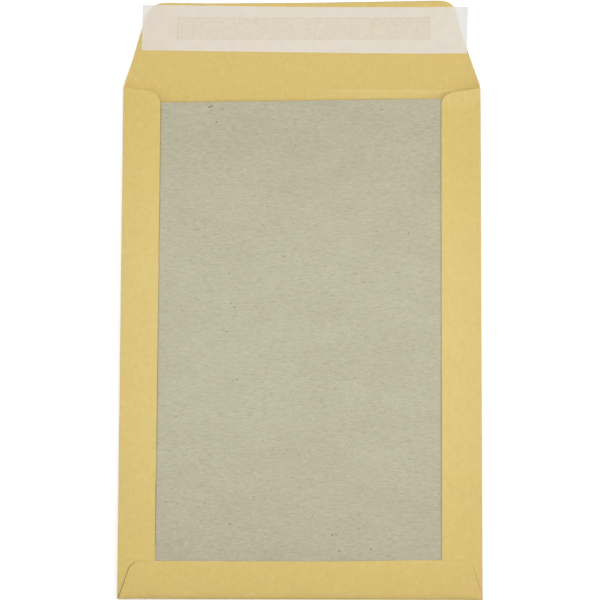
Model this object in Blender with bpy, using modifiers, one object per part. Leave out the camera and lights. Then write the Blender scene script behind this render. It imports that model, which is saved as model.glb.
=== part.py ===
"""A board-backed mailing envelope of C4 size, lying on its front with its closing flap open.

One kraft sheet is folded round a greyboard back. Its front panel lies on the table. The two side
flaps turn over the long edges of the board and are glued to it, and the foot flap turns up over
them. The closing flap runs on from the front panel and carries a strip of seal adhesive under a
release liner. Contents go in at the mouth, between the front panel and the board.

Lengths are in metres and angles in degrees. +Z is up, +Y runs towards the closing flap, and the
origin is on the table under the middle of the front panel.
"""

import math
from collections import namedtuple

import bmesh
import bpy

# The envelope outside its folds, with the closing flap left out
ENVELOPE_WIDTH = 0.2283
ENVELOPE_HEIGHT = 0.324

# Stock
PAPER = 0.00015
BOARD = 0.0008
LINER = 0.00008
GLUE = 0.0001

# Fits: pieces that lie on each other keep the seat gap, and the glue films lie in it. The curl gap
# is what the foot corners of the board keep from the curled panel under them.
SEAT_GAP = 0.0003
CURL_GAP = 0.000375
POCKET_DEPTH = 0.0044

# Side flaps, measured in from the folded edge at mid-height. A free edge that leans makes its flap
# wider towards the head, or towards the foot where the lean is negative.
LEFT_FLAP = 0.02375
LEFT_FLAP_LEAN = 0.10
RIGHT_FLAP = 0.0254
RIGHT_FLAP_LEAN = -0.05
SIDE_FLAP_RADIUS = 0.008
SIDE_FLAP_HEAD_TAPER = 9.0
SIDE_FLAP_FOOT_TAPER = 25.0

# Foot flap
FOOT_FLAP = 0.0237
FOOT_FLAP_RADIUS = 0.009
FOOT_FLAP_TAPER = 18.4
FOOT_DRAPE = 0.010

# Closing flap. It is drawn in at the side creases, and spreads to its own width beyond its fold.
CLOSING_FLAP = 0.0563
CLOSING_FLAP_SPREAD = 0.002
CLOSING_FLAP_RADIUS = 0.013
CLOSING_FLAP_TAPER = 15.8
CLOSING_FLAP_SKEW = 0.9
CLOSING_FLAP_LIFT = 2.0

# Folds: a tight crease along the sides, and a soft one along the foot
CREASE_RADIUS = 0.0005
CREASE_SLOPE = 32.0
FOOT_BEND_DEPTH = 0.005
FOOT_BEND_START = 30.0
FOOT_RISE = 0.002

# The board stops short of the closing fold, and its head is cut a little out of square
BOARD_HEAD_MARGIN = 0.0085
BOARD_HEAD_SKEW = 1.05

# Seal: the liner and the adhesive are placed by their middles, up the closing flap. The liner's ends
# are cut a little aslant, and its upper edge tapers away from the right end to the left one.
LINER_LENGTH = 0.2092
LINER_WIDTH = 0.0298
LINER_MIDDLE = (0.0020, 0.03865)
LINER_TURN = -0.45
LINER_SLANT = 1.0
LINER_TAPER = 0.27
LINER_MARGIN = 0.003
SEAL_LENGTH = 0.1641
SEAL_WIDTH = 0.0153
SEAL_MIDDLE = (0.0007, 0.0394)

# Glue seams
SEAM_WIDTH = 0.011
SEAM_MARGIN = 0.008

# Finishes: colour as seen on screen, roughness
KRAFT = ((222, 198, 127), 0.75)
GREYBOARD = ((191, 186, 161), 0.9)
GLASSINE = ((228, 226, 222), 0.45)
SEAL_AMBER = ((189, 150, 70), 0.35)
DRIED_GLUE = ((226, 220, 198), 0.5)

# Steps along one bend, curl, rounded corner, drape and spread, and along the panel's plain stretch
BEND_STEPS = 10
CURL_STEPS = 8
CORNER_STEPS = 8
DRAPE_STEPS = 6
SPREAD_STEPS = 2
PLAIN_STEPS = 3

# Heights of the layers, each at the middle of its paper
PANEL_Z = PAPER / 2
BOARD_Z = PAPER + POCKET_DEPTH + BOARD / 2
SIDE_FLAP_Z = BOARD_Z + BOARD / 2 + SEAT_GAP + PAPER / 2

# The furthest points of the folds, at the middle of the paper
FOLD_X = ENVELOPE_WIDTH / 2 - PAPER / 2
FOLD_Y = ENVELOPE_HEIGHT / 2 - PAPER / 2
CLOSING_FOLD_Y = ENVELOPE_HEIGHT / 2


def sine(degrees):
    return math.sin(math.radians(degrees))


def cosine(degrees):
    return math.cos(math.radians(degrees))


def tangent(degrees):
    return math.tan(math.radians(degrees))


def between(start, end, share):
    return start + (end - start) * share


def steps(start, end, count):
    """count steps from start to end, without start itself."""
    return [between(start, end, (i + 1) / count) for i in range(count)]


def ease(share):
    """0 to 1 with level ends."""
    share = min(1.0, max(0.0, share))
    return share * share * (3 - 2 * share)


# The front panel curls up to the side creases, and less to the foot fold. Both curls are parabolas
# that meet the bend beyond them at its own slope.
SIDE_EDGE = FOLD_X - CREASE_RADIUS * (1 - sine(CREASE_SLOPE))
SIDE_RISE = SIDE_FLAP_Z - CREASE_RADIUS * (1 + cosine(CREASE_SLOPE)) - PANEL_Z
SIDE_CURL = 2 * SIDE_RISE / tangent(CREASE_SLOPE)
FOOT_BEND_HEIGHT = (SIDE_FLAP_Z - PANEL_Z - FOOT_RISE) / (1 + cosine(FOOT_BEND_START))
FOOT_SLOPE = FOOT_BEND_HEIGHT / FOOT_BEND_DEPTH * tangent(FOOT_BEND_START)
FOOT_CURL = 2 * FOOT_RISE / FOOT_SLOPE

# The board is as wide as the curled panel under its foot corners lets it be
SHARE_AT_BOARD = (POCKET_DEPTH - CURL_GAP - FOOT_RISE) / (SIDE_RISE - FOOT_RISE)
BOARD_EDGE = SIDE_EDGE - SIDE_CURL * (1 - math.sqrt(SHARE_AT_BOARD))
BOARD_FOOT = -FOLD_Y + FOOT_BEND_DEPTH
BOARD_HEAD = CLOSING_FOLD_Y - BOARD_HEAD_MARGIN

# The closing flap is flat again where its liner starts. Its blank is wider than the panel by the
# half of each crease that it doesn't turn in.
FLAP_RELAX = LINER_MIDDLE[1] - LINER_WIDTH / 2 - LINER_MARGIN
CREASE_SPREAD = CREASE_RADIUS * math.radians(90 - CREASE_SLOPE)


def side_flap_width(side, y=0.0):
    """Width of the left flap (side -1) or of the right one, from the folded edge to its free edge."""
    if side < 0:
        return LEFT_FLAP + y * tangent(LEFT_FLAP_LEAN)
    return RIGHT_FLAP + y * tangent(RIGHT_FLAP_LEAN)


# The foot flap lies on the side flaps, and sinks to the board between them
WIDEST_AT_FOOT = max(side_flap_width(side, -CLOSING_FOLD_Y) for side in (-1, 1))
DRAPE_END = ENVELOPE_WIDTH / 2 - WIDEST_AT_FOOT - SEAT_GAP
DRAPE_START = DRAPE_END - FOOT_DRAPE

Station = namedtuple("Station", "zone value side")


def side_share(x):
    """How far the panel has curled up to a side crease: 0 on the table, 1 at the crease."""
    return max(0.0, 1 - (SIDE_EDGE - abs(x)) / SIDE_CURL) ** 2


def foot_flap_z(x):
    """Middle of the foot flap: on the board, then over the side flaps."""
    return SIDE_FLAP_Z + (PAPER + SEAT_GAP) * ease((abs(x) - DRAPE_START) / FOOT_DRAPE)


def foot_bend(x):
    """Depth and half-height of the foot bend, which is pinched to the crease at the corners."""
    share = side_share(x)
    depth = between(FOOT_BEND_DEPTH, CREASE_RADIUS, share)
    start = PANEL_Z + between(FOOT_RISE, SIDE_RISE, share)
    return depth, (foot_flap_z(x) - start) / (1 + cosine(FOOT_BEND_START))


def foot_start(x):
    """Where the panel ends and the foot bend starts."""
    depth, _ = foot_bend(x)
    return -FOLD_Y + depth * (1 - sine(FOOT_BEND_START))


def panel_z(x, y):
    """Middle of the front panel, curled up at its sides and foot."""
    side = side_share(x)
    foot = max(0.0, 1 - (y - foot_start(x)) / FOOT_CURL) ** 2
    return PANEL_Z + SIDE_RISE * side + FOOT_RISE * foot * (1 - side)


def tapered_reach(distance, base, taper, length, radius):
    """Half-width of a flap at this distance from its fold: tapered sides, then a round corner."""
    middle = length - radius
    beyond = distance - middle
    if beyond <= radius * sine(taper):
        return base - distance * tangent(taper)
    corner = base - middle * tangent(taper) - radius / cosine(taper)
    return corner + math.sqrt(max(0.0, radius**2 - beyond**2))


def corner_distances(taper, length, radius):
    """Distances from the fold that draw the round corner evenly, to the flap's end."""
    middle = length - radius
    turned = [taper] + steps(taper, 90, CORNER_STEPS)
    return [middle + radius * sine(angle) for angle in turned]


def side_flap_length(side):
    """The flat of a side flap at mid-height, beyond its crease."""
    return side_flap_width(side) - PAPER / 2 - CREASE_RADIUS


def panel_y(x, share):
    return between(foot_start(x), CLOSING_FOLD_Y, share)


def side_point(column, row):
    """A point of the side crease or of the side flap, beside the panel's row."""
    share = row.value
    if column.zone == "bend":
        x = FOLD_X - CREASE_RADIUS * (1 - sine(column.value))
        z = SIDE_FLAP_Z - CREASE_RADIUS * (1 + cosine(column.value))
        return column.side * x, panel_y(SIDE_EDGE, share), z
    length = side_flap_length(column.side)
    flap = (length, SIDE_FLAP_RADIUS)
    head = tapered_reach(column.value, CLOSING_FOLD_Y, SIDE_FLAP_HEAD_TAPER, *flap)
    foot = tapered_reach(column.value, -foot_start(SIDE_EDGE), SIDE_FLAP_FOOT_TAPER, *flap)
    y = between(-foot, head, share)
    widening = side_flap_width(column.side, y) - side_flap_width(column.side)
    x = FOLD_X - CREASE_RADIUS - column.value * (1 + widening / length)
    return column.side * x, y, SIDE_FLAP_Z


def foot_flap_reach(distance):
    return tapered_reach(distance, SIDE_EDGE, FOOT_FLAP_TAPER, FOOT_FLAP, FOOT_FLAP_RADIUS)


def foot_flap_x(share, reach):
    """The taper of the foot flap only draws in what lies beyond its drape."""
    x = abs(share) * SIDE_EDGE
    if x > DRAPE_END:
        x = between(DRAPE_END, reach, (x - DRAPE_END) / (SIDE_EDGE - DRAPE_END))
    return math.copysign(x, share)


def foot_point(share, row):
    """A point of the foot bend or of the foot flap, in the panel's column."""
    x = share * SIDE_EDGE
    depth, half_height = foot_bend(x)
    if row.zone == "bend":
        inward = depth * (1 - sine(row.value))
        if row.value > 90:
            x = foot_flap_x(share, foot_flap_reach(inward))
        z = foot_flap_z(share * SIDE_EDGE) - half_height * (1 + cosine(row.value))
        return x, -FOLD_Y + inward, z
    distance = between(depth, FOOT_FLAP, row.value / FOOT_FLAP)
    x = foot_flap_x(share, foot_flap_reach(distance))
    return x, -ENVELOPE_HEIGHT / 2 + distance, foot_flap_z(x)


def closing_point(share, row):
    """A point of the closing flap, which flattens out above its fold and lifts a little."""
    flap = (CLOSING_FLAP_TAPER, CLOSING_FLAP, CLOSING_FLAP_RADIUS)
    spread = CREASE_SPREAD * ease(row.value / CLOSING_FLAP_SPREAD)
    x = share * (tapered_reach(row.value, SIDE_EDGE, *flap) + spread)
    curled = SIDE_RISE * side_share(x) * (1 - ease(row.value / FLAP_RELAX))
    along = row.value * (1 + x * tangent(CLOSING_FLAP_SKEW) / CLOSING_FLAP)
    y = CLOSING_FOLD_Y + along * cosine(CLOSING_FLAP_LIFT)
    return x, y, PANEL_Z + curled + along * sine(CLOSING_FLAP_LIFT)


def folded_point(column, row):
    """Where a corner of the blank's grid comes to lie once the sheet is folded."""
    if column.zone != "panel":
        return side_point(column, row)
    if row.zone in ("bend", "foot flap"):
        return foot_point(column.value, row)
    if row.zone == "closing flap":
        return closing_point(column.value, row)
    x = column.value * SIDE_EDGE
    y = panel_y(x, row.value)
    return x, y, panel_z(x, y)


def half_columns(side):
    """The blank's columns from its middle line out to one side, without the middle line."""
    inner = [DRAPE_START] + steps(DRAPE_START, DRAPE_END, DRAPE_STEPS)
    curl = [SIDE_EDGE - SIDE_CURL] + steps(SIDE_EDGE - SIDE_CURL, SIDE_EDGE, CURL_STEPS)
    panel = sorted(set(inner + curl))
    length = side_flap_length(side)
    flap = corner_distances(SIDE_FLAP_HEAD_TAPER, length, SIDE_FLAP_RADIUS)
    return (
        [Station("panel", side * x / SIDE_EDGE, side) for x in panel]
        + [Station("bend", angle, side) for angle in steps(CREASE_SLOPE, 180, BEND_STEPS)]
        + [Station("flap", distance, side) for distance in flap]
    )


def blank_columns():
    left = half_columns(-1)[::-1]
    return left + [Station("panel", 0.0, 0)] + half_columns(1)


def blank_rows():
    foot = corner_distances(FOOT_FLAP_TAPER, FOOT_FLAP, FOOT_FLAP_RADIUS)[::-1]
    bend = steps(FOOT_BEND_START, 180, BEND_STEPS)[::-1]
    curl_share = FOOT_CURL / (CLOSING_FOLD_Y - foot_start(0))
    panel = [0.0] + steps(0, curl_share, CURL_STEPS) + steps(curl_share, 1, PLAIN_STEPS)
    spread = steps(0, CLOSING_FLAP_SPREAD, SPREAD_STEPS)
    relax = steps(CLOSING_FLAP_SPREAD, FLAP_RELAX, CURL_STEPS)
    tip = corner_distances(CLOSING_FLAP_TAPER, CLOSING_FLAP, CLOSING_FLAP_RADIUS)
    return (
        [Station("foot flap", distance, 0) for distance in foot]
        + [Station("bend", angle, 0) for angle in bend]
        + [Station("panel", share, 0) for share in panel]
        + [Station("closing flap", distance, 0) for distance in spread + relax + tip]
    )


def screen_colour(red, green, blue):
    """The linear colour of an 8-bit screen colour."""
    return [((c / 255 + 0.055) / 1.055) ** 2.4 for c in (red, green, blue)] + [1.0]


def finish(name, look):
    colour, roughness = look
    material = bpy.data.materials.new(name)
    material.use_nodes = True
    shader = material.node_tree.nodes["Principled BSDF"]
    shader.inputs["Base Color"].default_value = screen_colour(*colour)
    shader.inputs["Roughness"].default_value = roughness
    shader.inputs["Metallic"].default_value = 0.0
    material.diffuse_color = screen_colour(*colour)
    return material


def add_object(name, data, material, collection):
    data.materials.append(material)
    obj = bpy.data.objects.new(name, data)
    collection.objects.link(obj)
    return obj


def thicken(obj, thickness):
    """Paper on both sides of the modelled surface."""
    solidify = obj.modifiers.new("Paper", "SOLIDIFY")
    solidify.thickness = thickness
    solidify.offset = 0
    solidify.use_even_offset = True
    solidify.use_quality_normals = True
    obj.modifiers.new("Flat faces stay flat", "WEIGHTED_NORMAL")


def sheet_mesh(name, columns, rows, kept, placed):
    """A grid with its corners moved to where placed() says, without the cells that kept() refuses."""
    bm = bmesh.new()
    across, along = len(columns) - 1, len(rows) - 1
    bmesh.ops.create_grid(bm, x_segments=across, y_segments=along, size=0.5)
    refused = []
    for face in bm.faces:
        middle = face.calc_center_median()
        column = math.floor((middle.x + 0.5) * across)
        row = math.floor((middle.y + 0.5) * along)
        if not kept(columns[column : column + 2], rows[row : row + 2]):
            refused.append(face)
    bmesh.ops.delete(bm, geom=refused, context="FACES")
    for vertex in bm.verts:
        column = columns[round((vertex.co.x + 0.5) * across)]
        row = rows[round((vertex.co.y + 0.5) * along)]
        vertex.co = placed(column, row)
    for face in bm.faces:
        face.smooth = True
    mesh = bpy.data.meshes.new(name)
    bm.to_mesh(mesh)
    bm.free()
    return mesh


def on_the_cross(columns, rows):
    """The blank is a cross: it has flaps beside, above and below the panel, and no corners."""
    beside = any(column.zone != "panel" for column in columns)
    beyond = any(row.zone != "panel" for row in rows)
    return not (beside and beyond)


def folded_envelope(collection, kraft):
    mesh = sheet_mesh("folded_envelope", blank_columns(), blank_rows(), on_the_cross, folded_point)
    thicken(add_object("folded_envelope", mesh, kraft, collection), PAPER)


def plate(name, outline, thickness, material, collection):
    """A flat sheet cut to an outline, centred on its own thickness."""
    curve = bpy.data.curves.new(name, "CURVE")
    curve.dimensions = "2D"
    curve.fill_mode = "BOTH"
    curve.extrude = thickness / 2
    spline = curve.splines.new("POLY")
    spline.points.add(len(outline) - 1)
    for point, (x, y) in zip(spline.points, outline):
        point.co = (x, y, 0, 1)
    spline.use_cyclic_u = True
    return add_object(name, curve, material, collection)


def strip_outline(length, width, slant=0.0, taper=0.0):
    """A strip about its middle, with its ends cut aslant and its upper edge tapering to the left."""
    x, y = length / 2, width / 2
    lean = y * tangent(slant)
    drop = x * tangent(taper)
    return [(-x - lean, -y), (x - lean, -y), (x + lean, y + drop), (-x + lean, y - drop)]


def backing_board(collection, greyboard):
    head_drop = BOARD_EDGE * tangent(BOARD_HEAD_SKEW)
    outline = [
        (-BOARD_EDGE, BOARD_FOOT),
        (BOARD_EDGE, BOARD_FOOT),
        (BOARD_EDGE, BOARD_HEAD + head_drop),
        (-BOARD_EDGE, BOARD_HEAD - head_drop),
    ]
    board = plate("backing_board", outline, BOARD, greyboard, collection)
    board.location.z = BOARD_Z


def side_seam(name, side, collection, glue):
    """A film of glue between a side flap and the board."""
    flap_edge = ENVELOPE_WIDTH / 2 - side_flap_width(side)
    foot = -CLOSING_FOLD_Y + FOOT_FLAP
    head = BOARD_HEAD - SEAM_MARGIN
    film = plate(name, strip_outline(SEAM_WIDTH, head - foot), GLUE, glue, collection)
    middle = (flap_edge + BOARD_EDGE) / 2
    film.location = (side * middle, (head + foot) / 2, SIDE_FLAP_Z - PAPER / 2 - SEAT_GAP / 2)


def foot_seam(collection, glue):
    """The film under the foot flap, which follows its drape from one side flap to the other."""
    reach = foot_flap_reach(FOOT_FLAP) - SEAM_MARGIN / 2
    half = [0.0, DRAPE_START] + steps(DRAPE_START, DRAPE_END, DRAPE_STEPS) + [reach]
    columns = [-x for x in half[:0:-1]] + half
    middle = -CLOSING_FOLD_Y + (FOOT_BEND_DEPTH + FOOT_FLAP) / 2
    rows = [middle - SEAM_WIDTH / 2, middle + SEAM_WIDTH / 2]

    def placed(x, y):
        return x, y, foot_flap_z(x) - PAPER / 2 - SEAT_GAP / 2

    mesh = sheet_mesh("foot_seam_glue", columns, rows, lambda *cell: True, placed)
    thicken(add_object("foot_seam_glue", mesh, glue, collection), GLUE)


def seal(collection, amber, glassine):
    """The adhesive strip and its release liner, both on the lifted plane of the closing flap."""
    flap = bpy.data.objects.new("closing_flap_plane", None)
    flap.location = (0, CLOSING_FOLD_Y, PANEL_Z)
    flap.rotation_euler.x = math.radians(CLOSING_FLAP_LIFT)
    collection.objects.link(flap)
    film = strip_outline(SEAL_LENGTH, SEAL_WIDTH)
    adhesive = plate("seal_adhesive", film, GLUE, amber, collection)
    adhesive.location = (*SEAL_MIDDLE, PAPER / 2 + SEAT_GAP / 2)
    cover = strip_outline(LINER_LENGTH, LINER_WIDTH, LINER_SLANT, LINER_TAPER)
    liner = plate("release_liner", cover, LINER, glassine, collection)
    liner.location = (*LINER_MIDDLE, PAPER / 2 + SEAT_GAP + LINER / 2)
    liner.rotation_euler.z = math.radians(LINER_TURN)
    for strip in (adhesive, liner):
        strip.parent = flap


def main():
    for obj in list(bpy.data.objects):
        bpy.data.objects.remove(obj)
    collection = bpy.data.collections.new("board_backed_envelope")
    bpy.context.scene.collection.children.link(collection)
    glue = finish("dried_glue", DRIED_GLUE)
    folded_envelope(collection, finish("kraft_paper", KRAFT))
    backing_board(collection, finish("greyboard", GREYBOARD))
    side_seam("left_seam_glue", -1, collection, glue)
    side_seam("right_seam_glue", 1, collection, glue)
    foot_seam(collection, glue)
    seal(collection, finish("seal_amber", SEAL_AMBER), finish("glassine", GLASSINE))


main()
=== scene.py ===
"""Looks for a board-backed envelope that lies on its front with its closing flap open."""

import math

import bmesh
import bpy
from mathutils import Euler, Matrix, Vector, noise


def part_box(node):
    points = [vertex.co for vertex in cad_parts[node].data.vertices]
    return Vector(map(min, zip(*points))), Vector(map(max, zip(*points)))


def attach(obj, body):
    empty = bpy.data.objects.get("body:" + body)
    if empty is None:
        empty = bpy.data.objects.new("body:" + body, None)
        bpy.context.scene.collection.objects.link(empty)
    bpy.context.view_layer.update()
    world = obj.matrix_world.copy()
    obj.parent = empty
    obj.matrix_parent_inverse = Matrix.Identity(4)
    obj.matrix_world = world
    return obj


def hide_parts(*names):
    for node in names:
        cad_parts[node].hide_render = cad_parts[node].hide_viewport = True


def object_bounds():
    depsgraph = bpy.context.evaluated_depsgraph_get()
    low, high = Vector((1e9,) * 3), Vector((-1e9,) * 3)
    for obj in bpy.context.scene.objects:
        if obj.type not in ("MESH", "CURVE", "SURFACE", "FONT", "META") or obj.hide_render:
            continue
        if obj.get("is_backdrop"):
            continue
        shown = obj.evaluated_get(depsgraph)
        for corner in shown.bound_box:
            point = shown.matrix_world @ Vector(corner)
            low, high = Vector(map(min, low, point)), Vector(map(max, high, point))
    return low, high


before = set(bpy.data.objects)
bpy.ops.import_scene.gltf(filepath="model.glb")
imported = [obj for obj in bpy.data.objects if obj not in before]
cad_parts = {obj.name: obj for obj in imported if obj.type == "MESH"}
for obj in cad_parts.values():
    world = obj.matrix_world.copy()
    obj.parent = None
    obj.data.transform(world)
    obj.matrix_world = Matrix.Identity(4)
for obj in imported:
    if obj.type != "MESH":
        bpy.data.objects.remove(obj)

CAD_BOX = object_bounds()

# All lengths and places below are in metres, apart from the lens, which is in millimetres.

# Camera: nearly straight down, with the foot of the envelope a little nearer
CAMERA_DISTANCE = 1.0
CAMERA_AIM = Vector((-0.0007, 0.02608, 0.0))
CAMERA_ANGLES = [math.radians(angle) for angle in (4.09, -0.08, 0.236)]
LENS = 94.24
CLIP_START = 0.01
CLIP_END = 20.0

# Light: an even room, a soft strip overhead, and soft lamps at both sides and beyond the closing
# flap. Each lamp is its place, its size along x and y, and its power.
ROOM_LEVEL = 0.34
LAMP_AIM = Vector((0.0, 0.0, 0.0))
LAMPS = {
    "strip_lamp": ((0.05, 0.06, 1.0), (1.0, 0.3), 3.9),
    "left_lamp": ((-0.8, -0.1, 0.9), (0.3, 0.3), 0.7),
    "right_lamp": ((0.8, -0.1, 0.9), (0.3, 0.3), 1.8),
    "back_lamp": ((0.0, 3.2, 4.8), (2.0, 2.0), 84.0),
}

# Floor: for the eye it glows a little round the envelope, fully beyond its fade, and by
# FLOOR_THROUGH where it shows through the liner
FLOOR_SIZE = 1.6
FLOOR_CELLS = 8
FLOOR_DROP = 0.0001
FLOOR_COLOUR = 0.88
FLOOR_ROUGHNESS = 0.9
FLOOR_GLOW = 0.25
FLOOR_FADE_START = 0.32
FLOOR_FADE_END = 0.70
FLOOR_THROUGH = 0.9

# Colours, as seen on screen
KRAFT = (222, 198, 126)
# The next colour is painted shade for the kraft towards the ends of the envelope
KRAFT_ENDS_SHADED = (216, 190, 114)
KRAFT_DARK = (203, 174, 104)
KRAFT_LIGHT = (231, 210, 143)
KRAFT_FLECK = (150, 118, 62)
# The next colour is painted shadow for the lines along the kraft sheet's cut edge
KRAFT_CUT_SHADOW = (126, 84, 36)
GREYBOARD = (193, 189, 163)
# The next colour is painted shade for the greyboard towards the ends of the envelope
GREYBOARD_ENDS_SHADED = (185, 180, 155)
GREYBOARD_DARK = (158, 152, 128)
GREYBOARD_LIGHT = (213, 209, 187)
GREYBOARD_FLECK = (92, 88, 76)
# The next colour is painted contact shadow beside the side flaps' free edges
BOARD_EDGE_SHADOW = (172, 152, 112)
GLASSINE = (227, 224, 218)
GLASSINE_CLOUD = (222, 215, 207)
SEAL_AMBER = (216, 192, 104)
SEAL_DARK = (198, 172, 80)
GLUE = (226, 220, 198)

# The stock, and the places of the frame that the looks and the relief follow
PAPER = 0.00015
GLUE_FILM = 0.0001
CLOSING_FOLD = 0.162
# The foot flap lies on the board as far out as FOOT_FLAP_PLAIN. Beyond that it lies on the side
# flaps, more than FOOT_OVERLAP above the board. Its head turns down in a curve at both ends.
FOOT_FLAP_HEAD = -0.138
FOOT_FLAP_PLAIN = 0.0885
FOOT_OVERLAP = 0.0006
FOOT_CURVE_LEFT = -0.102
FOOT_CURVE_RIGHT = 0.107
# The two stretches of y, near the foot and near the head, where the side flaps' free edges are found
FREE_EDGE_ENDS = ((-0.150, -0.139), (0.140, 0.155))
SIDE_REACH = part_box("folded_envelope")[1][0]
BOARD_LOW, BOARD_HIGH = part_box("backing_board")
LINER_LOW, LINER_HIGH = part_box("release_liner")
SEAL_LOW, SEAL_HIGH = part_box("seal_adhesive")
SIDE_FLAP_LEVEL = BOARD_HIGH[2]
BOARD_THICKNESS = BOARD_HIGH[2] - BOARD_LOW[2]
LINER_LENGTH = LINER_HIGH[0] - LINER_LOW[0]
SEAL_LENGTH = SEAL_HIGH[0] - SEAL_LOW[0]
SEAL_WIDTH = SEAL_HIGH[1] - SEAL_LOW[1]

# Noise in the materials: its size, detail, stretch along each axis and roughness. TOOTH_FIELD is
# the fine tooth of the kraft paper's faces.
KRAFT_FIELDS = {
    "cloud": (0.014, 3.0),
    "blotch": (0.0035, 2.0),
    "fibres": (0.0008, 3.0, (1, 3, 1), 0.6),
}
CUT_FIELDS = {"patches": (0.018, 2.0), "grain": (0.0004, 2.0)}
BOARD_FIELDS = {
    "cloud": (0.020, 3.0, (2, 1, 1)),
    "streaks": (0.0010, 4.0, (3.5, 1, 1), 0.65),
    "grain": (0.0006, 3.0, (1.5, 1, 1), 0.6),
    "shadow_patches": (0.02, 2.0, (1, 2, 1)),
}
LINER_FIELDS = {
    "cloud": (0.006, 4.0, (1, 1, 1), 0.6),
    "blotch": (0.0022, 4.0, (1, 1, 1), 0.65),
    "grain": (0.0008, 3.0),
    "streaks": (0.0015, 2.0, (1, 6, 1)),
}
SEAL_FIELDS = {"blotch": (0.0030, 4.0, (1, 1, 1), 0.65), "grain": (0.0009, 2.0)}
GLUE_FIELDS = {"cloud": (0.004, 3.0)}
TOOTH_FIELD = (0.00025, 2.0)

# Layers of colour over the first one: the noise, where the layer starts and where it is full in
# that noise, its share there, and its colour
KRAFT_LAYERS = (
    ("cloud", 0.35, 0.65, 0.10, KRAFT_DARK),
    ("blotch", 0.5, 0.75, 0.16, KRAFT_DARK),
    ("blotch", 0.5, 0.25, 0.18, KRAFT_LIGHT),
    ("fibres", 0.5, 0.8, 0.28, KRAFT_LIGHT),
    ("fibres", 0.5, 0.2, 0.26, KRAFT_DARK),
)
BOARD_LAYERS = (
    ("cloud", 0.35, 0.7, 0.12, GREYBOARD_DARK),
    ("streaks", 0.5, 0.75, 0.5, GREYBOARD_LIGHT),
    ("streaks", 0.5, 0.25, 0.5, GREYBOARD_DARK),
    ("grain", 0.5, 0.25, 0.5, GREYBOARD_DARK),
)
LINER_LAYERS = (
    ("cloud", 0.4, 0.7, 0.15, GLASSINE_CLOUD),
    ("grain", 0.5, 0.75, 0.2, GLASSINE_CLOUD),
)
SEAL_LAYERS = (
    ("blotch", 0.35, 0.65, 1.0, SEAL_DARK),
    ("grain", 0.55, 0.75, 0.5, KRAFT),
)
GLUE_LAYERS = (("cloud", 0.3, 0.7, 0.5, KRAFT),)

# Hairs: their size, their directions in degrees, and where they start and are full in their noise.
# They lie in patches, whose noise is HAIR_PATCH_SIZE times as large as the hairs.
KRAFT_HAIRS = (0.0006, (15.0, 100.0), 0.80, 0.84)
BOARD_HAIRS = (0.0007, (-8.0, 12.0, 50.0), 0.755, 0.80)
HAIR_STRETCH = (5, 1, 1)
HAIR_DETAIL = 1.0
HAIR_PATCH_SIZE = 9
HAIR_PATCHES = (0.45, 0.6)

# Shades by place: where each starts, where it is full, and its share there. Paper and board are painted
# palest across the middle of the envelope and darker towards its ends, a painted falloff of the light; the
# kraft darkens down the foot flap, a painted shade where its fold turns from the light, and outwards. The
# liner's left end has painted shade.
MIDDLE_SHADE = (0.03, 0.17, 1.0)
FOOT_SHADE = (FOOT_FLAP_HEAD, -0.155, 0.22)
SIDE_SHADE = (0.095, 0.110, 0.12)
LINER_END_SHADE = (-LINER_LENGTH / 3, -LINER_LENGTH / 2, 0.5)
SEAL_END_SHADE = (-0.078, -0.081, 0.5)

# Light that the paper catches just below the closing fold, towards the right: two bands, each with
# its reach down from the fold and its share. FOLD_LIGHT_SOFTNESS is the part of the reach over
# which a band fades on either side of its end.
FOLD_LIGHTS = ((0.012, 0.25), (0.0015, 0.15))
FOLD_LIGHT_SOFTNESS = 0.5
FOLD_LIGHT_ACROSS = (-0.02, 0.04)
FOLD_WIDTH = 0.0003

# Painted shadow lines on the kraft sheet's cut edge, where the flaps' edges stand over what lies below:
# where each starts and where it is full, as places or, for patches, in their noise. The last two numbers
# of four are its shares there.
CUT_SHADOW_ACROSS = (0.094, 0.090)
CUT_SHADOW_PATCHES = (0.35, 0.65, 0.2, 0.6)
CORNER_SHADOW_ACROSS = (0.100, 0.092, 0.0, 0.5)
CORNER_SHADOW_ALONG = (0.138, 0.148)
FOOT_SHADOW_LEFT = (FOOT_CURVE_LEFT, FOOT_CURVE_LEFT - 0.003, 0.0, 0.75)
FOOT_SHADOW_RIGHT = (FOOT_CURVE_RIGHT, FOOT_CURVE_RIGHT + 0.004, 0.0, 0.55)
FOOT_SHADOW_ALONG = (FOOT_FLAP_HEAD + 0.003, FOOT_FLAP_HEAD + 0.002)

# The board's larger specks, the last three of which make a short dark fibre, and the brown painted contact
# shadow beside the side flaps' free edges, with numbers like those of the cut edge's painted shadow lines
BOARD_SPECKS = (
    (0.0445, -0.1306), (-0.0546, 0.1394), (0.0201, -0.1219), (0.0245, -0.1318),
    (-0.0594, 0.1489), (-0.0584, 0.1493), (-0.0575, 0.1497),
)
SPECK_SIZE = 0.00055
EDGE_SHADOW_ACROSS = (0.0009, 0.0001)
EDGE_SHADOW_PATCHES = (0.4, 0.6, 0.15, 0.6)

# The liner's cover and roughness, with numbers like those of the cut edge's painted shadow lines, and how
# it sticks to the adhesive, which shows more there: patchily, most on a ridge near the adhesive's left
# end, and in streaks on a smear to the left of it
LINER_COVER = (0.3, 0.7, 0.75, 0.80)
LINER_ROUGHNESS = (0.3, 0.7, 0.38, 0.5)
STUCK_RIM = 0.001
STUCK_CLEARNESS = 0.13
STUCK_PATCHES = (0.35, 0.65, 0.65, 1.2)
SEAL_TURN = math.radians(0.24)
SEAL_RIDGE = 0.0012
SEAL_RIDGE_SHARE = 0.35
SEAL_SMEAR = 0.0055
SEAL_SMEAR_SHARE = 0.5
SMEAR_STREAKS = (0.4, 0.6, 0.3, 1.0)

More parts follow.
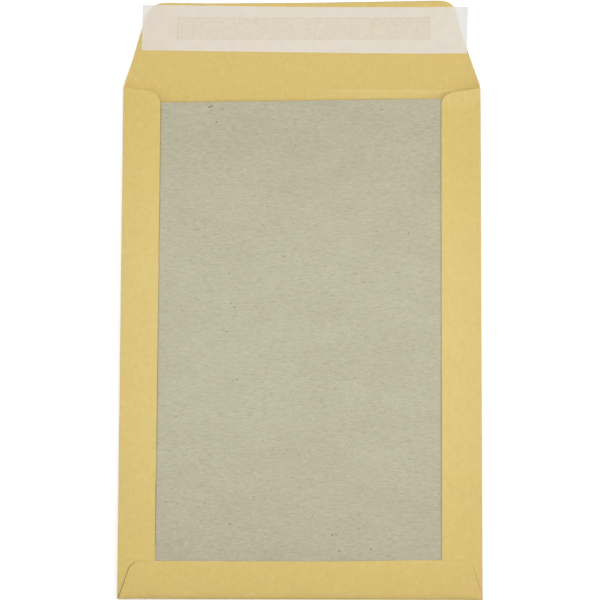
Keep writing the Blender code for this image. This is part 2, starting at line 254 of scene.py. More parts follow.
# Relief of the kraft sheet. START is where a change begins, and RAMP, RISE and REACH are the
# lengths over which it grows to its full size.
# The upper rim of a cut edge is set back, more so at the foot flap's left end.
CUT_SLANT = 0.00022
FOOT_SLANT = 0.00045
# The closing flap's left side draws in just above the fold, which leaves a square shoulder.
SHOULDER_DEPTH = 0.0004
SHOULDER_START = 0.110
SHOULDER_RISE = 0.002
SHOULDER_HEIGHT = 0.006
# The closing flap is narrower on its right below the corner, and its left corner is fuller.
FLAP_TRIM_START = 0.060
FLAP_TRIM_RAMP = 0.025
FLAP_DRAW = 0.0015
FLAP_DRAW_START = 0.006
FLAP_DRAW_RAMP = 0.034
FLAP_CORNER_START = 0.048
FLAP_CORNER_RAMP = 0.0075
FLAP_RAISE = 0.00045
FLAP_RAISE_START = 0.040
FLAP_RAISE_RAMP = 0.010
# The closing flap and what lies on it wave, and sag in the middle.
FLAP_WAVE = 0.0003
FLAP_WAVE_LENGTH = 0.06
FLAP_WAVE_START = 0.005
FLAP_WAVE_RAMP = 0.045
FLAP_SAG = 0.0016
FLAP_SAG_MIDDLE = 0.005
FLAP_SAG_REACH = 0.100
# The foot flap is wider at its right end, and its head slants up to the right.
FOOT_SPREAD = 0.0014
FOOT_SPREAD_RISE = 0.004
FOOT_SPREAD_START = 0.095
FOOT_SPREAD_RAMP = 0.010
FOOT_RAISE = 0.0012
FOOT_RAISE_REACH = 0.100
FOOT_RAISE_START = -0.150
FOOT_RAISE_RAMP = 0.010
# The side flaps' free edges come up unevenly, with EDGE_LIFT_LEAST as the least share of the full
# lift, and the left one is stuck down for a stretch.
EDGE_LIFT = 0.00035
EDGE_LIFT_WIDTH = 0.006
EDGE_LIFT_LENGTH = 0.035
EDGE_LIFT_LEAST = 0.5
STUCK_FROM = 0.030
STUCK_TO = 0.140
STUCK_RAMP = 0.010

# Relief of the board's edges, of the liner and of the adhesive
BOARD_ROUGHNESS = 0.00012
BOARD_FIBRE = 0.0015
BOARD_SOFTNESS = 0.0001
LINER_CELL = 0.0012
LINER_WAVE = 0.00018
LINER_PUCKER_LENGTH = 0.022
LINER_CURL = 0.0019
LINER_CURL_REACH = 0.035
LINER_DRAWN_IN = 0.0005
SEAL_CELL = 0.0005
SEAL_RAGGEDNESS = 0.0006
SEAL_RIM = 0.0025

# Where each wave starts in its noise, so that no two are alike
FLAP_SEED = 3.0
LIFT_SEED = 5.0
BOARD_SEED = 7.0
LINER_SEED = 11.0
SEAL_END_SEED = 13.0
SEAL_SIDE_SEED = 17.0

# Where the plain stretches of the sheets are cut across, to give the relief its points
PANEL_CELL = 0.0125
FLAP_CUTS_Y = [0.186, 0.194, 0.202]
PANEL_CUTS_X = [PANEL_CELL * step for step in range(-6, 7)]
PANEL_CUTS_Y = [PANEL_CELL * step for step in range(-10, 12)] + FLAP_CUTS_Y

# Meshes: what counts as one point, as a cut edge and as a corner of the outline, how high and how
# upright the faces of a cut edge are, which edges are long enough to make a corner, and to how many
# digits of a metre two corners are told apart
WELD = 0.000001
CUT_ANGLE = math.radians(35.0)
CORNER_ANGLE = math.radians(12.0)
CUT_HEIGHT = 1.2 * PAPER
CUT_UPRIGHT = 0.5
CORNER_EDGE = 2 * PAPER
CORNER_DIGITS = 4


def screen_colour(red, green, blue):
    """The linear colour of an 8-bit screen colour, by the sRGB curve."""
    return [((c / 255 + 0.055) / 1.055) ** 2.4 for c in (red, green, blue)] + [1.0]


def grey(level):
    """A linear grey."""
    return [level, level, level, 1.0]


def ease(value):
    """0 to 1 with level ends."""
    value = min(1.0, max(0.0, value))
    return value * value * (3 - 2 * value)


def wave(x, y, seed, length):
    """Smooth noise over the sheet, 0 to 1."""
    return min(1.0, max(0.0, 0.5 + noise.noise(Vector((x / length, y / length, seed)))))


class Nodes:
    """A node tree, with its links written as arguments."""

    def __init__(self, tree):
        self.tree = tree

    def add(self, kind, inputs=(), **settings):
        """A new node with its inputs, each a socket or a value, and its settings."""
        node = self.tree.nodes.new(kind)
        for key, value in settings.items():
            setattr(node, key, value)
        for key, value in dict(inputs).items():
            self.join(value, node.inputs[key])
        return node

    def join(self, value, socket):
        if isinstance(value, bpy.types.NodeSocket):
            self.tree.links.new(value, socket)
        else:
            socket.default_value = value

    def maths(self, operation, *values, **settings):
        inputs = dict(enumerate(values))
        return self.add("ShaderNodeMath", inputs, operation=operation, **settings).outputs[0]

    def band(self, value, low, high, start=0.0, end=1.0):
        """start below low, end above high, and a smooth step between them."""
        inputs = {"Value": value, "From Min": low, "From Max": high, "To Min": start, "To Max": end}
        return self.add("ShaderNodeMapRange", inputs, interpolation_type="SMOOTHSTEP").outputs[0]

    def seen(self, hidden, shown):
        """One value for the light that falls on the envelope and for what shows through its liner,
        and another for what the camera, a mirror or glass sees."""
        path = self.add("ShaderNodeLightPath").outputs
        ray = self.maths("MAXIMUM", path["Is Camera Ray"], path["Is Glossy Ray"])
        ray = self.maths("MAXIMUM", ray, path["Is Transmission Ray"])
        ray = self.maths("GREATER_THAN", ray, path["Transparent Depth"])
        return self.add("ShaderNodeMapRange", {"Value": ray, "To Min": hidden, "To Max": shown}).outputs[0]


class Surface(Nodes):
    """A material's node tree, with the places on the object, the noises and the colours."""

    def __init__(self, name):
        self.material = bpy.data.materials.new(name)
        self.material.use_nodes = True
        super().__init__(self.material.node_tree)
        self.shader = self.tree.nodes["Principled BSDF"]
        self.place = self.add("ShaderNodeTexCoord").outputs["Object"]
        split = self.add("ShaderNodeSeparateXYZ", {"Vector": self.place})
        self.x, self.y = split.outputs[:2]

    def noise(self, size, detail=2.0, stretch=(1, 1, 1), roughness=0.5, turn=0.0):
        """Noise with features of this size in metres, drawn out along axes turned by some degrees."""
        spread = {
            "Vector": self.place,
            "Scale": tuple(size * s for s in stretch),
            "Rotation": (0.0, 0.0, math.radians(turn)),
        }
        mapped = self.add("ShaderNodeMapping", spread, vector_type="TEXTURE").outputs[0]
        texture = {"Vector": mapped, "Scale": 1.0, "Detail": detail, "Roughness": roughness}
        return self.add("ShaderNodeTexNoise", texture).outputs["Fac"]

    def fields(self, table):
        """The noises of a table, by name."""
        return {name: self.noise(*settings) for name, settings in table.items()}

    def mix(self, share, first, second):
        """From the first colour to the second, each a socket, a screen colour or a linear grey."""
        node = self.add("ShaderNodeMix", data_type="RGBA", clamp_factor=True)
        self.join(share, node.inputs[0])
        for socket, colour in ((node.inputs[6], first), (node.inputs[7], second)):
            written = isinstance(colour, tuple)
            self.join(screen_colour(*colour) if written else colour, socket)
        return node.outputs[2]

    def tint(self, tone, value, low, high, share, colour):
        """The tone with a share of a colour above high, and none of it below low."""
        return self.mix(self.band(value, low, high, 0.0, share), tone, colour)

    def layers(self, tone, fields, table):
        """The tone with the layers of a table over it."""
        for name, low, high, share, colour in table:
            tone = self.tint(tone, fields[name], low, high, share, colour)
        return tone

    def hairs(self, tone, colour, size, turns, low, high):
        """The tone with short, sparse strokes of a colour in a few directions."""
        for turn in turns:
            strokes = self.noise(size, HAIR_DETAIL, HAIR_STRETCH, turn=turn)
            patches = self.noise(size * HAIR_PATCH_SIZE, HAIR_DETAIL, turn=turn)
            drawn = self.band(strokes, low, high)
            share = self.maths("MULTIPLY", drawn, self.band(patches, *HAIR_PATCHES))
            tone = self.mix(share, tone, colour)
        return tone

    def bump(self, height, distance, strength, under=None):
        inputs = {"Height": height, "Distance": distance, "Strength": strength}
        node = self.add("ShaderNodeBump", inputs)
        if under is not None:
            self.join(under, node.inputs["Normal"])
        return node.outputs[0]

    def finish(self, **sockets):
        for key, value in sockets.items():
            self.join(value, self.shader.inputs[key.replace("_", " ")])
        return self.material


def kraft_tone(nodes, fields):
    """Manila kraft with painted shade and painted light by place: palest across the middle, darker towards
    the ends, lit below the closing fold. It has a cloudy formation and short pale and dark fibres."""
    # Painted falloff of the light: palest across the middle, darker towards both ends
    tone = nodes.tint(KRAFT, nodes.maths("ABSOLUTE", nodes.y), *MIDDLE_SHADE, KRAFT_ENDS_SHADED)
    # Painted shade down the foot flap, where its fold turns away from the light
    tone = nodes.tint(tone, nodes.y, *FOOT_SHADE, KRAFT_DARK)
    tone = nodes.tint(tone, nodes.maths("ABSOLUTE", nodes.x), *SIDE_SHADE, KRAFT_DARK)
    right = nodes.band(nodes.x, *FOLD_LIGHT_ACROSS)
    below = nodes.band(nodes.y, CLOSING_FOLD, CLOSING_FOLD - FOLD_WIDTH)
    for reach, share in FOLD_LIGHTS:
        low = CLOSING_FOLD - reach * (1 + FOLD_LIGHT_SOFTNESS)
        high = CLOSING_FOLD - reach * (1 - FOLD_LIGHT_SOFTNESS)
        inside = nodes.band(nodes.y, low, high, 0.0, share)
        lit = nodes.maths("MULTIPLY", nodes.maths("MULTIPLY", below, inside), right)
        tone = nodes.mix(lit, tone, KRAFT_LIGHT)
    return nodes.layers(tone, fields, KRAFT_LAYERS)


def kraft_material():
    """The faces of the kraft sheet, with a few brown flecks."""
    nodes = Surface("kraft_paper")
    fields = nodes.fields(KRAFT_FIELDS)
    tone = nodes.hairs(kraft_tone(nodes, fields), KRAFT_FLECK, *KRAFT_HAIRS)
    coarse = nodes.bump(fields["fibres"], distance=0.00002, strength=0.4)
    fine = nodes.bump(nodes.noise(*TOOTH_FIELD), distance=0.00001, strength=0.4, under=coarse)
    rough = nodes.band(fields["cloud"], low=0.3, high=0.7, start=0.78, end=0.68)
    return nodes.finish(Base_Color=tone, Roughness=rough, Normal=fine, Specular_IOR_Level=0.3)


def kraft_cut_material():
    """The cut edge of the kraft sheet, with painted shadow lines where the flaps' edges cast shade: at the
    side flaps' head corners, less along their free edges, and along the foot flap only at its ends."""
    nodes = Surface("kraft_cut_edge")
    tone = kraft_tone(nodes, nodes.fields(KRAFT_FIELDS))
    fields = nodes.fields(CUT_FIELDS)
    beside = nodes.maths("ABSOLUTE", nodes.x)
    patchy = nodes.band(fields["patches"], *CUT_SHADOW_PATCHES)
    along = nodes.maths("MULTIPLY", nodes.band(beside, *CUT_SHADOW_ACROSS), patchy)
    high = nodes.band(nodes.y, *CORNER_SHADOW_ALONG)
    corner = nodes.maths("MULTIPLY", nodes.band(beside, *CORNER_SHADOW_ACROSS), high)
    flap = nodes.maths("MAXIMUM", along, corner)
    left = nodes.band(nodes.x, *FOOT_SHADOW_LEFT)
    right = nodes.band(nodes.x, *FOOT_SHADOW_RIGHT)
    foot = nodes.maths("ADD", left, right)
    low = nodes.band(nodes.y, *FOOT_SHADOW_ALONG)
    # Painted shadow lines: along the side flaps, and at the foot flap's ends
    cut_shadow = nodes.add("ShaderNodeMix", {0: low, 2: flap, 3: foot}, data_type="FLOAT").outputs[0]
    tone = nodes.mix(cut_shadow, tone, KRAFT_CUT_SHADOW)
    relief = nodes.bump(fields["grain"], distance=0.00003, strength=0.5)
    return nodes.finish(Base_Color=tone, Roughness=0.9, Normal=relief, Specular_IOR_Level=0.2)


def greyboard_material(edges):
    """Recycled greyboard: fibres drawn out across the sheet, dark hairs, a few larger specks, and a thin
    brown painted shadow along each side flap's free edge, where the flap stands a little over the board."""
    nodes = Surface("greyboard")
    fields = nodes.fields(BOARD_FIELDS)
    # Painted falloff of the light: palest across the middle, darker towards both ends
    tone = nodes.tint(GREYBOARD, nodes.maths("ABSOLUTE", nodes.y), *MIDDLE_SHADE, GREYBOARD_ENDS_SHADED)
    tone = nodes.layers(tone, fields, BOARD_LAYERS)
    tone = nodes.hairs(tone, GREYBOARD_FLECK, *BOARD_HAIRS)
    for speck in BOARD_SPECKS:
        inputs = {0: nodes.place, 1: (*speck, SIDE_FLAP_LEVEL)}
        away = nodes.add("ShaderNodeVectorMath", inputs, operation="DISTANCE").outputs["Value"]
        tone = nodes.tint(tone, away, SPECK_SIZE, SPECK_SIZE / 2, 1.0, GREYBOARD_FLECK)
    shadow_patches = nodes.band(fields["shadow_patches"], *EDGE_SHADOW_PATCHES)
    for side, (reach, lean) in edges.items():
        line = nodes.maths("MULTIPLY_ADD", nodes.y, lean, reach)
        away = nodes.maths("SUBTRACT", line, nodes.maths("MULTIPLY", nodes.x, side))
        # Painted contact shadow in a thin line beside the flap's free edge, broken into patches
        edge_shadow = nodes.maths("MULTIPLY", nodes.band(away, *EDGE_SHADOW_ACROSS), shadow_patches)
        tone = nodes.mix(edge_shadow, tone, BOARD_EDGE_SHADOW)
    coarse = nodes.bump(fields["streaks"], distance=0.00006, strength=0.6)
    fine = nodes.bump(fields["grain"], distance=0.00003, strength=0.6, under=coarse)
    return nodes.finish(Base_Color=tone, Roughness=0.9, Normal=fine, Specular_IOR_Level=0.25)


def stuck_share(nodes, fields):
    """How firmly the liner sticks down: over the adhesive and its smear, within a wandering rim."""
    wander = nodes.maths("MULTIPLY", nodes.maths("SUBTRACT", fields["blotch"], 0.5), STUCK_RIM)
    x = nodes.maths("ADD", nodes.x, wander)
    y = nodes.maths("SUBTRACT", nodes.y, nodes.maths("MULTIPLY", nodes.x, math.tan(SEAL_TURN)))
    left = SEAL_LOW[0]
    stuck = nodes.band(x, left, left + STUCK_RIM)
    from_ridge = nodes.maths("ABSOLUTE", nodes.maths("SUBTRACT", x, left + SEAL_RIDGE))
    ridge = nodes.band(from_ridge, STUCK_RIM, 0.0, 0.0, SEAL_RIDGE_SHARE)
    smear = nodes.band(x, left - SEAL_SMEAR, left - SEAL_SMEAR + STUCK_RIM, 0.0, SEAL_SMEAR_SHARE)
    smear = nodes.maths("MULTIPLY", smear, nodes.band(fields["streaks"], *SMEAR_STREAKS))
    stuck = nodes.maths("ADD", nodes.maths("MAXIMUM", stuck, smear), ridge)
    for value, start, inward in ((nodes.x, SEAL_HIGH[0], -1), (y, SEAL_LOW[1], 1), (y, SEAL_HIGH[1], -1)):
        stuck = nodes.maths("MULTIPLY", stuck, nodes.band(value, start, start + inward * STUCK_RIM / 2))
    return nodes.maths("MULTIPLY", stuck, nodes.band(fields["blotch"], *STUCK_PATCHES))


def glassine_material():
    """Silicone-coated liner paper: white, satin and see-through, with a cloudy look-through. It
    shows more of what is under it where it sticks to the adhesive."""
    nodes = Surface("glassine")
    fields = nodes.fields(LINER_FIELDS)
    cleared = nodes.maths("MULTIPLY", stuck_share(nodes, fields), STUCK_CLEARNESS)
    cover = nodes.maths("SUBTRACT", nodes.band(fields["cloud"], *LINER_COVER), cleared)
    tone = nodes.layers(GLASSINE, fields, LINER_LAYERS)
    # Painted shade towards the liner's left end, for the shadow on the table seen through it
    tone = nodes.tint(tone, nodes.x, *LINER_END_SHADE, GLASSINE_CLOUD)
    soft = nodes.bump(fields["cloud"], distance=0.00005, strength=0.3)
    fine = nodes.bump(fields["grain"], distance=0.00001, strength=0.4, under=soft)
    rough = nodes.band(fields["grain"], *LINER_ROUGHNESS)
    sockets = {"Base_Color": tone, "Roughness": rough, "Alpha": cover, "Normal": fine}
    return nodes.finish(Specular_IOR_Level=0.4, **sockets)


def seal_material():
    """Amber seal adhesive, blotchy where it was rolled on, with a thin start at its left end."""
    nodes = Surface("seal_amber")
    fields = nodes.fields(SEAL_FIELDS)
    tone = nodes.layers(SEAL_AMBER, fields, SEAL_LAYERS)
    tone = nodes.tint(tone, nodes.x, *SEAL_END_SHADE, KRAFT)
    relief = nodes.bump(fields["blotch"], distance=0.00005, strength=0.5)
    return nodes.finish(Base_Color=tone, Roughness=0.35, Normal=relief, Specular_IOR_Level=0.4)


def glue_material():
    """Dried dispersion glue in its film, cloudy and half clear."""
    nodes = Surface("dried_glue")
    fields = nodes.fields(GLUE_FIELDS)
    tone = nodes.layers(GLUE, fields, GLUE_LAYERS)
    relief = nodes.bump(fields["cloud"], distance=0.00003, strength=0.5)
    return nodes.finish(Base_Color=tone, Roughness=0.5, Normal=relief)


def floor_material():
    """A white table, which shows white round the envelope, keeps its shadow and fades into the white
    room. Through the liner it shows plain white."""
    nodes = Surface("floor")
    path = nodes.add("ShaderNodeLightPath").outputs
    rays = (path["Is Camera Ray"], path["Transparent Depth"])
    through = nodes.maths("MULTIPLY", *rays, use_clamp=True)
    colour = nodes.mix(through, grey(FLOOR_COLOUR), grey(0.0))
    away = nodes.add("ShaderNodeVectorMath", {0: nodes.place}, operation="LENGTH").outputs["Value"]
    fade = nodes.band(away, FLOOR_FADE_START, FLOOR_FADE_END, FLOOR_GLOW, 1.0)
    glow = nodes.maths("MULTIPLY_ADD", through, FLOOR_THROUGH, nodes.seen(0.0, fade))
    sockets = {"Base_Color": colour, "Emission_Color": grey(1.0), "Emission_Strength": glow}
    return nodes.finish(Roughness=FLOOR_ROUGHNESS, Specular_IOR_Level=0.0, **sockets)


def add_piece(name, mesh, materials, node):
    """A piece that stands for a node of the frame."""
    for material in materials:
        mesh.materials.append(material)
    piece = bpy.data.objects.new(name, mesh)
    bpy.context.scene.collection.objects.link(piece)
    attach(piece, "root")
    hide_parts(node)
    return piece


def evaluated_mesh(obj):
    """The object's mesh with its modifiers applied; the object itself is removed."""
    bpy.context.scene.collection.objects.link(obj)
    bpy.context.view_layer.update()
    evaluated = obj.evaluated_get(bpy.context.evaluated_depsgraph_get())
    mesh = bpy.data.meshes.new_from_object(evaluated)
    bpy.data.objects.remove(obj)
    return mesh


def mesh_of(bm, name):
    """A smooth mesh with sharp cut edges, made of bm, which is freed."""
    for face in bm.faces:
        face.smooth = True
    mesh = bpy.data.meshes.new(name)
    bm.to_mesh(mesh)
    bm.free()
    mesh.set_sharp_from_angle(angle=CUT_ANGLE)
    return mesh


def node_mesh(node):
    """A welded copy of a node's mesh, with its triangles paired up."""
    bm = bmesh.new()
    bm.from_mesh(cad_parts[node].data)
    bmesh.ops.remove_doubles(bm, verts=bm.verts, dist=WELD)
    pairs = {"angle_face_threshold": CUT_ANGLE, "angle_shape_threshold": math.pi}
    bmesh.ops.join_triangles(bm, faces=bm.faces, **pairs)
    return bm


def cut_across(bm):
    """New edges where planes across x and then y meet the sheet."""
    for places, axis in ((PANEL_CUTS_X, Vector((1, 0, 0))), (PANEL_CUTS_Y, Vector((0, 1, 0)))):
        for place in places:
            everything = bm.verts[:] + bm.edges[:] + bm.faces[:]
            bmesh.ops.bisect_plane(bm, geom=everything, plane_co=axis * place, plane_no=axis)


def sharp_edges(bm):
    """The edges where two faces meet at an angle, or where there is only one face."""
    return {edge for edge in bm.edges if not edge.is_manifold or edge.calc_face_angle() > CUT_ANGLE}


def cut_faces(bm, sharp):
    """The faces of the cut edge, which is one paper thickness high between two sharp edges."""
    found = set()
    for face in bm.faces:
        thin = min(edge.calc_length() for edge in face.edges) < CUT_HEIGHT
        upright = abs(face.normal.z) < CUT_UPRIGHT
        if thin and upright and sum(edge in sharp for edge in face.edges) >= 2:
            found.add(face)
    return found


def outline_corners(bm, sharp):
    """The points where the sheet's outline turns a corner, not a curve."""
    for vert in bm.verts:
        outline = [edge.other_vert(vert).co - vert.co for edge in vert.link_edges if edge in sharp]
        outline = [along for along in outline if along.length > CORNER_EDGE]
        if len(outline) == 2 and math.pi - outline[0].angle(outline[1]) > CORNER_ANGLE:
            yield vert


def slant_cuts(bm, cuts):
    """Sets back the upper rim of the cut edge, which a knife leaves a little slanted."""
    moves = {}
    for edge in bm.edges:
        if not all(face in cuts for face in edge.link_faces):
            continue
        upper, lower = sorted(edge.verts, key=lambda vert: -vert.co.z)
        if upper.co.z - lower.co.z < PAPER / 2:
            continue
        outward = sum((face.normal for face in edge.link_faces), Vector())
        outward.z = 0.0
        left_foot = upper.co.y < FOOT_FLAP_HEAD + PAPER and upper.co.x < FOOT_CURVE_LEFT
        moves[upper] = -outward.normalized() * (FOOT_SLANT if left_foot else CUT_SLANT)
    for vert, move in moves.items():
        vert.co += move


def free_edges():
    """The free edge of each side flap, as its |x| on the middle line and its lean along y."""
    places = [vert.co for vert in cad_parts["folded_envelope"].data.vertices]
    found = {}
    for side in (-1, 1):
        flap = [place for place in places if place.x * side > 0 and place.z > SIDE_FLAP_LEVEL]
        low, high = [
            min((place for place in flap if start < place.y < end), key=lambda place: abs(place.x))
            for start, end in FREE_EDGE_ENDS
        ]
        lean = (abs(high.x) - abs(low.x)) / (high.y - low.y)
        found[side] = (abs(low.x) - lean * low.y, lean)
    return found


def shoulder_draw(x, y):
    """How far the closing flap's left side draws in just above the fold, to leave a square shoulder."""
    distance = y - CLOSING_FOLD
    ramp = ease(distance / SHOULDER_RISE) * ease((SHOULDER_HEIGHT - distance) / SHOULDER_HEIGHT)
    return SHOULDER_DEPTH * ramp * ease((-x - SHOULDER_START) / SHOULDER_RISE)


def flap_trim(x, y):
    """The cut of the closing flap: narrower on its right below the corner, fuller at its left corner."""
    distance = y - CLOSING_FOLD
    drawn = FLAP_DRAW * ease((distance - FLAP_DRAW_START) / FLAP_DRAW_RAMP)
    drawn *= 1 - ease((distance - FLAP_CORNER_START) / FLAP_CORNER_RAMP)
    drawn *= ease((x - FLAP_TRIM_START) / FLAP_TRIM_RAMP)
    raised = FLAP_RAISE * ease((distance - FLAP_RAISE_START) / FLAP_RAISE_RAMP)
    raised *= ease((-x - FLAP_TRIM_START) / FLAP_TRIM_RAMP)
    return Vector((-drawn, raised, 0.0))


def foot_trim(x, y, z):
    """The cut of the foot flap: wider at its right end, with its head slanting up to the right."""
    level = z - SIDE_FLAP_LEVEL
    beside = abs(x) > FOOT_FLAP_PLAIN
    if y > FOOT_FLAP_HEAD + PAPER or level < (FOOT_OVERLAP if beside else 0.0):
        return Vector()
    distance = y + CLOSING_FOLD
    spread = FOOT_SPREAD * ease(distance / FOOT_SPREAD_RISE)
    spread *= ease((x - FOOT_SPREAD_START) / FOOT_SPREAD_RAMP)
    raised = FOOT_RAISE * ease(x / FOOT_RAISE_REACH)
    raised *= ease((y - FOOT_RAISE_START) / FOOT_RAISE_RAMP)
    return Vector((min(spread, SIDE_REACH - x), raised, 0.0))


def flap_wave(x, y):
    """How far the closing flap and what lies on it wave up, and sag in the middle of the flap."""
    ramp = ease((y - CLOSING_FOLD - FLAP_WAVE_START) / FLAP_WAVE_RAMP)
    sag = FLAP_SAG * ease(1 - abs(x - FLAP_SAG_MIDDLE) / FLAP_SAG_REACH)
    return ramp * (FLAP_WAVE * wave(x, y, FLAP_SEED, FLAP_WAVE_LENGTH) - sag)


def edge_lift(x, y, edges):
    """How far a side flap's free edge has come up; the left one is stuck down for a stretch."""
    side = -1 if x < 0 else 1
    reach, lean = edges[side]
    away = abs(x) - reach - lean * y
    uneven = EDGE_LIFT_LEAST + (1 - EDGE_LIFT_LEAST) * wave(side, y, LIFT_SEED, EDGE_LIFT_LENGTH)
    share = ease(1 - away / EDGE_LIFT_WIDTH) * uneven
    share *= ease((y - FOOT_FLAP_HEAD - EDGE_LIFT_WIDTH) / EDGE_LIFT_WIDTH)
    if side < 0:
        share *= 1 - ease((y - STUCK_FROM) / STUCK_RAMP) * ease((STUCK_TO - y) / STUCK_RAMP)
    return EDGE_LIFT * share


def folded_paper(edges):
    """The kraft sheet with smooth folds, slanted cut edges and flaps that lift a little."""
    bm = node_mesh("folded_envelope")
    cut_across(bm)
    crease = bm.edges.layers.float.new("crease_edge")
    corner_crease = bm.verts.layers.float.new("crease_vert")
    sharp = sharp_edges(bm)
    cuts = cut_faces(bm, sharp)
    slant_cuts(bm, cuts)
    for face in cuts:
        face.material_index = 1
    for vert in bm.verts:
        vert.co.x += shoulder_draw(vert.co.x, vert.co.y)
    for edge in sharp:
        edge[crease] = 1.0
    for vert in outline_corners(bm, sharp):
        vert[corner_crease] = 1.0
    name = "kraft_paper_sheet"
    source = bpy.data.objects.new(name, mesh_of(bm, name))
    smooth = source.modifiers.new("Smooth", "SUBSURF")
    smooth.levels = smooth.render_levels = 1
    mesh = evaluated_mesh(source)
    for vert in mesh.vertices:
        vert.co += flap_trim(*vert.co.xy) + foot_trim(*vert.co)
        x, y, z = vert.co
        vert.co.z += flap_wave(x, y)
        if z > SIDE_FLAP_LEVEL and y > FOOT_FLAP_HEAD:
            vert.co.z += edge_lift(x, y, edges)
    materials = (kraft_material(), kraft_cut_material())
    add_piece(name, mesh, materials, "folded_envelope")


def corners_of(node):
    """The lower four corners of a flat node, in order round its middle."""
    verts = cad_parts[node].data.vertices
    middle = sum((vert.co for vert in verts), Vector()) / len(verts)
    lower = {}
    for vert in verts:
        key = (round(vert.co.x, CORNER_DIGITS), round(vert.co.y, CORNER_DIGITS))
        if key not in lower or vert.co.z < lower[key].z:
            lower[key] = vert.co.copy()
    return sorted(lower.values(), key=lambda place: math.atan2(*(place - middle).yx))


def board_sheet(edges):
    """The greyboard, with the slightly ragged and rounded edges that a guillotine leaves."""
    corners = corners_of("backing_board")
    bm = bmesh.new()
    outline = []
    for start, end in zip(corners, corners[1:] + corners[:1]):
        along = end - start
        inward = Vector((-along.y, along.x, 0)).normalized()
        count = round(along.length / (BOARD_FIBRE / 2))
        for step in range(count):
            place = start + along * (step / count)
            depth = BOARD_ROUGHNESS * wave(place.x, place.y, BOARD_SEED, BOARD_FIBRE)
            outline.append(bm.verts.new(place + inward * depth))
    face = bm.faces.new(outline)
    raised = bmesh.ops.extrude_face_region(bm, geom=[face])["geom"]
    upper = [part for part in raised if isinstance(part, bmesh.types.BMVert)]
    bmesh.ops.translate(bm, verts=upper, vec=(0, 0, BOARD_THICKNESS))
    bmesh.ops.recalc_face_normals(bm, faces=bm.faces)
    level = BOARD_THICKNESS / 2
    rims = [edge for edge in bm.edges if abs(edge.verts[0].co.z - edge.verts[1].co.z) < level]
    soft = {"offset": BOARD_SOFTNESS, "segments": 2, "profile": 0.5, "affect": "EDGES"}
    bmesh.ops.bevel(bm, geom=rims, **soft)
    cut_across(bm)
    mesh = mesh_of(bm, "greyboard_sheet")
    add_piece("greyboard_sheet", mesh, [greyboard_material(edges)], "backing_board")


def strip_mesh(name, node, cell, placed):
    """A thin strip over a node's lower corners, with its points where placed(place, u, v) says."""
    first, second, third, fourth = corners_of(node)
    length, width = (second - first).length, (fourth - first).length
    bm = bmesh.new()
    across, along = round(length / cell), round(width / cell)
    bmesh.ops.create_grid(bm, x_segments=across, y_segments=along, size=0.5)
    for vert in bm.verts:
        u, v = vert.co.x + 0.5, vert.co.y + 0.5
        vert.co = placed(first.lerp(second, u).lerp(fourth.lerp(third, u), v), u, v)
    return mesh_of(bm, name)


def seal_place(place, u, v):
    """The adhesive waves with the flap, lies a little aslant and has ragged edges."""
    away = Vector((0.5 - u, 0.5 - v, 0))
    rim_x = ease(1 - min(u, 1 - u) * SEAL_LENGTH / SEAL_RIM)
    rim_y = ease(1 - min(v, 1 - v) * SEAL_WIDTH / SEAL_RIM)
    ragged_x = SEAL_RAGGEDNESS * rim_x * wave(0.0, place.y, SEAL_END_SEED, SEAL_RIM)
    ragged_y = SEAL_RAGGEDNESS * rim_y * wave(place.x, 0.0, SEAL_SIDE_SEED, SEAL_RIM)
    rise = place.x * math.tan(SEAL_TURN)
    shift = Vector((math.copysign(ragged_x, away.x), math.copysign(ragged_y, away.y) + rise, 0))
    return place + shift + Vector((0, 0, flap_wave(place.x, place.y)))


def adhesive():
    """The film of adhesive, with its true thickness above the node's lower face."""
    source = bpy.data.objects.new("film", strip_mesh("film", "seal_adhesive", SEAL_CELL, seal_place))
    solid = source.modifiers.new("Thickness", "SOLIDIFY")
    solid.thickness = GLUE_FILM
    solid.offset = 1.0
    add_piece("adhesive_film", evaluated_mesh(source), [seal_material()], "seal_adhesive")


def liner_place(place, u, v):
    """The liner waves with the flap, puckers a little on its own, and curls up at its right end. It
    is drawn in where it curls, and at the head of its left end."""
    curl = LINER_CURL * ease(1 - (1 - u) * LINER_LENGTH / LINER_CURL_REACH)
    drawn = LINER_DRAWN_IN * (curl / LINER_CURL + v * ease(1 - u * LINER_LENGTH / LINER_CURL_REACH))
    pucker = LINER_WAVE * wave(place.x, place.y, LINER_SEED, LINER_PUCKER_LENGTH)
    return place + Vector((-drawn, 0, flap_wave(place.x, place.y) + pucker + curl))


def release_liner():
    """The liner is so thin that it is one surface, which the light gets through."""
    mesh = strip_mesh("liner_sheet", "release_liner", LINER_CELL, liner_place)
    piece = add_piece("liner_sheet", mesh, [glassine_material()], "release_liner")
    piece.visible_shadow = False


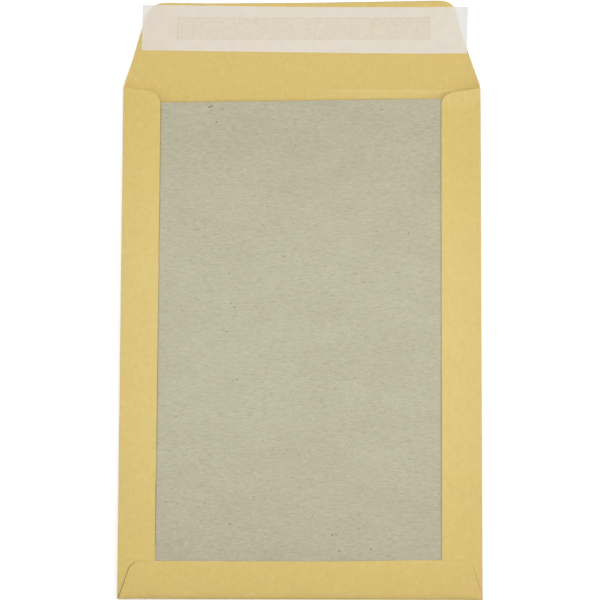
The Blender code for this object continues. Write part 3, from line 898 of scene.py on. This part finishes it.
def seam_glues():
    """The films of glue under the flaps, which keep their solids."""
    glue = glue_material()
    for node in ("left_seam_glue", "right_seam_glue", "foot_seam_glue"):
        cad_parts[node].material_slots[0].material = glue


def lamp(name, place, size, power):
    """A soft lamp that faces the envelope and isn't seen itself."""
    data = bpy.data.lights.new(name, "AREA")
    data.shape = "RECTANGLE"
    data.size, data.size_y = size
    data.energy = power
    obj = bpy.data.objects.new(name, data)
    obj.visible_camera = False
    obj.location = place
    obj.rotation_euler = (LAMP_AIM - Vector(place)).to_track_quat("-Z", "Y").to_euler()
    bpy.context.scene.collection.objects.link(obj)


def studio():
    """The lamps, a white room and a white floor."""
    for name, settings in LAMPS.items():
        lamp(name, *settings)
    world = bpy.data.worlds.new("room")
    bpy.context.scene.world = world
    world.use_nodes = True
    nodes = Nodes(world.node_tree)
    background = world.node_tree.nodes["Background"]
    background.inputs["Color"].default_value = grey(1.0)
    nodes.join(nodes.seen(ROOM_LEVEL, 1.0), background.inputs["Strength"])
    grid = {"x_subdivisions": FLOOR_CELLS, "y_subdivisions": FLOOR_CELLS, "size": FLOOR_SIZE}
    bpy.ops.mesh.primitive_grid_add(location=(0, 0, -FLOOR_DROP), **grid)
    floor = bpy.context.object
    floor.name = "floor"
    floor.data.materials.append(floor_material())
    floor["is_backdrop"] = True
    bpy.context.scene.view_settings.view_transform = "Standard"


def camera():
    """The photographer's view."""
    data = bpy.data.cameras.new("camera")
    data.lens = LENS
    data.clip_start = CLIP_START
    data.clip_end = CLIP_END
    obj = bpy.data.objects.new("camera", data)
    turn = Euler(CAMERA_ANGLES)
    obj.rotation_euler = turn
    obj.location = CAMERA_AIM + turn.to_matrix() @ Vector((0, 0, CAMERA_DISTANCE))
    bpy.context.scene.collection.objects.link(obj)
    bpy.context.scene.camera = obj


def main():
    """Builds the pieces, then the studio and the camera."""
    edges = free_edges()
    folded_paper(edges)
    board_sheet(edges)
    adhesive()
    release_liner()
    seam_glues()
    studio()
    camera()


main()
VISUAL_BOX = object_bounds()
boxes = {"cad": CAD_BOX, "visual": VISUAL_BOX}
{name: [list(corner) for corner in box] for name, box in boxes.items()}
